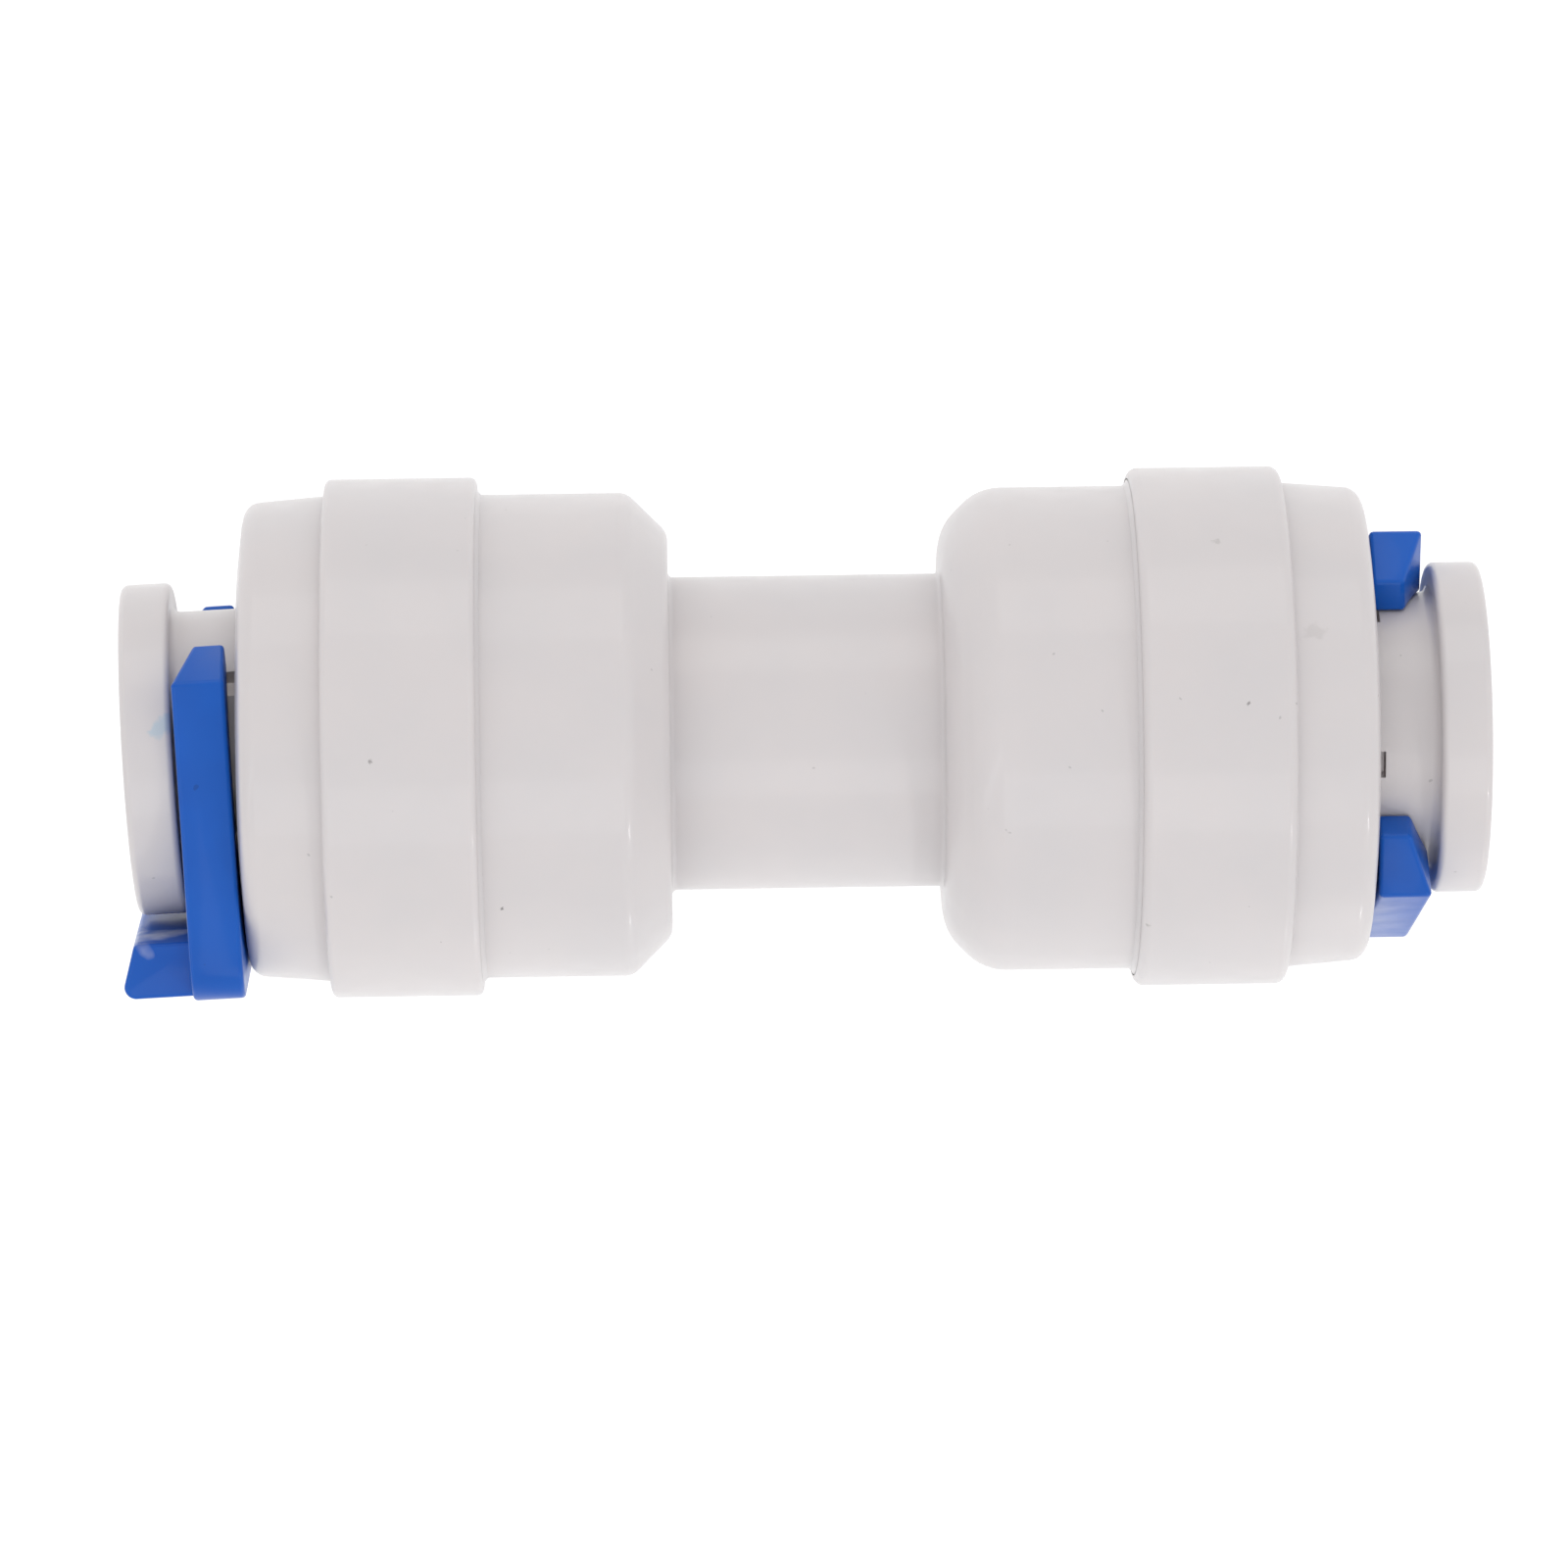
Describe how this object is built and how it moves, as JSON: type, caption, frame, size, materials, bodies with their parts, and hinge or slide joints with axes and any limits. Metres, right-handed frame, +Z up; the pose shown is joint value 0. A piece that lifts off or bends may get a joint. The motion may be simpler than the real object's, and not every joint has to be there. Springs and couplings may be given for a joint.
{
  "type": "push fit coupling",
  "caption": "Straight push fit tube coupling: waisted white body, banded end caps, sliding release collets and blue C-shaped locking clips.",
  "frame": {"origin": "middle of the fitting, on the tube axis", "axes": "+X along the tube axis to the right-hand end, +Y square to it, +Z up towards the open side of the right-hand clip"},
  "size_m": [0.0408, 0.0154, 0.0154],
  "materials": {
    "white_plastic": "moulded acetal, satin",
    "blue_plastic": "moulded acetal, satin",
    "rubber_seal": "smooth",
    "tooth_steel": "stamped"
  },
  "bodies": {
    "housing": {"coupling_body": "white_plastic", "left_end_cap": "white_plastic", "left_o_ring": "rubber_seal", "left_spacer_ring": "white_plastic", "right_end_cap": "white_plastic", "right_o_ring": "rubber_seal", "right_spacer_ring": "white_plastic"},
    "left_collet_body": {"left_collet": "white_plastic", "left_collet_tooth_1": "tooth_steel", "left_collet_tooth_2": "tooth_steel", "left_collet_tooth_3": "tooth_steel", "left_collet_tooth_4": "tooth_steel", "left_collet_tooth_5": "tooth_steel"},
    "left_clip_body": {"left_locking_clip": "blue_plastic"},
    "right_collet_body": {"right_collet": "white_plastic", "right_collet_tooth_1": "tooth_steel", "right_collet_tooth_2": "tooth_steel", "right_collet_tooth_3": "tooth_steel", "right_collet_tooth_4": "tooth_steel", "right_collet_tooth_5": "tooth_steel"},
    "right_clip_body": {"right_locking_clip": "blue_plastic"}
  },
  "joints": [
    {"name": "left_clip_pull", "type": "slide", "parent": "housing", "child": "left_clip_body", "axis": [0, -0.9848, -0.1736], "range_m": [0, 0.037], "deforming": ["left_locking_clip"]},
    {"name": "left_collet_push", "type": "slide", "parent": "housing", "child": "left_collet_body", "axis": [1, 0, 0], "range_m": [0, 0.0015]},
    {"name": "right_clip_pull", "type": "slide", "parent": "housing", "child": "right_clip_body", "axis": [0, -0.1564, -0.9877], "range_m": [0, 0.037], "deforming": ["right_locking_clip"]},
    {"name": "right_collet_push", "type": "slide", "parent": "housing", "child": "right_collet_body", "axis": [-1, 0, 0], "range_m": [0, 0.0015]}
  ],
  "couplings": [
    {"joint": "left_collet_push", "follows": "left_clip_pull", "ratio": 0.04054},
    {"joint": "right_collet_push", "follows": "right_clip_pull", "ratio": 0.04054}
  ]
}
